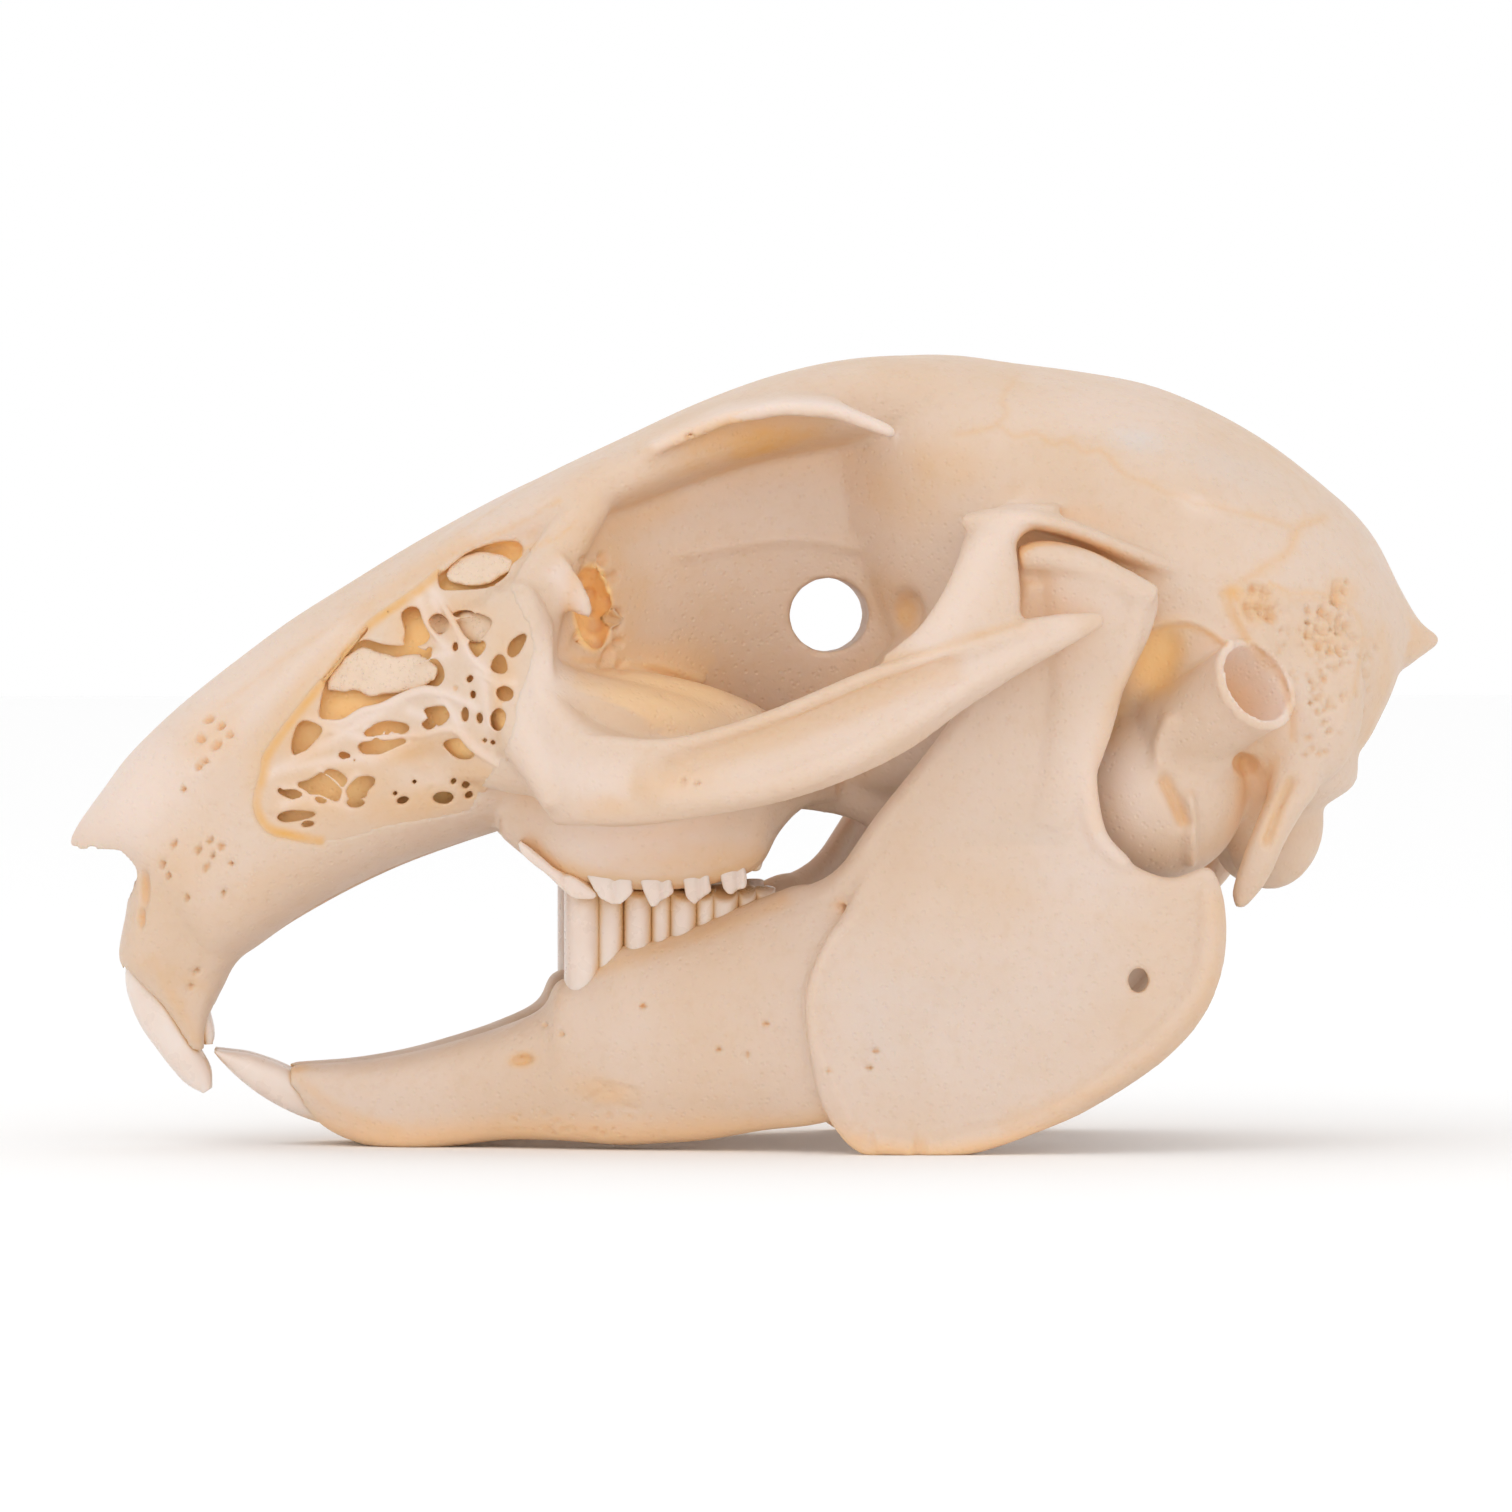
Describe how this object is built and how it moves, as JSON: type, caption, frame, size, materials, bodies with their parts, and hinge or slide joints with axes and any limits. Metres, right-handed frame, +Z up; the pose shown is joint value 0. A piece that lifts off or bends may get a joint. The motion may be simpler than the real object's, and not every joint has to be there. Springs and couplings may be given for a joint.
{
  "type": "rabbit skull",
  "caption": "Cleaned cottontail rabbit skull with its lower jaw and teeth in place, standing on the lower jaw.",
  "frame": {"origin": "centre of the bounding box's bottom face, on the surface that the lower jaw stands on", "axes": "+X runs from the nose to the back of the head, +Z is up, and -Y is the animal's left side"},
  "size_m": [0.0717, 0.0356, 0.0415],
  "materials": {
    "bone": "dry cream bone, matte",
    "tooth": "enamel, slightly glossy"
  },
  "bodies": {
    "root": {"cranium": "bone", "mandible_left": "bone", "mandible_right": "bone", "upper_incisor_left": "tooth", "peg_incisor_left": "tooth", "lower_incisor_left": "tooth", "upper_cheek_tooth_1_left": "tooth", "upper_cheek_tooth_2_left": "tooth", "upper_cheek_tooth_3_left": "tooth", "upper_cheek_tooth_4_left": "tooth", "upper_cheek_tooth_5_left": "tooth", "upper_cheek_tooth_6_left": "tooth", "lower_cheek_tooth_1_left": "tooth", "lower_cheek_tooth_2_left": "tooth", "lower_cheek_tooth_3_left": "tooth", "lower_cheek_tooth_4_left": "tooth", "lower_cheek_tooth_5_left": "tooth", "upper_incisor_right": "tooth", "peg_incisor_right": "tooth", "lower_incisor_right": "tooth", "upper_cheek_tooth_1_right": "tooth", "upper_cheek_tooth_2_right": "tooth", "upper_cheek_tooth_3_right": "tooth", "upper_cheek_tooth_4_right": "tooth", "upper_cheek_tooth_5_right": "tooth", "upper_cheek_tooth_6_right": "tooth", "lower_cheek_tooth_1_right": "tooth", "lower_cheek_tooth_2_right": "tooth", "lower_cheek_tooth_3_right": "tooth", "lower_cheek_tooth_4_right": "tooth", "lower_cheek_tooth_5_right": "tooth"}
  },
  "joints": []
}
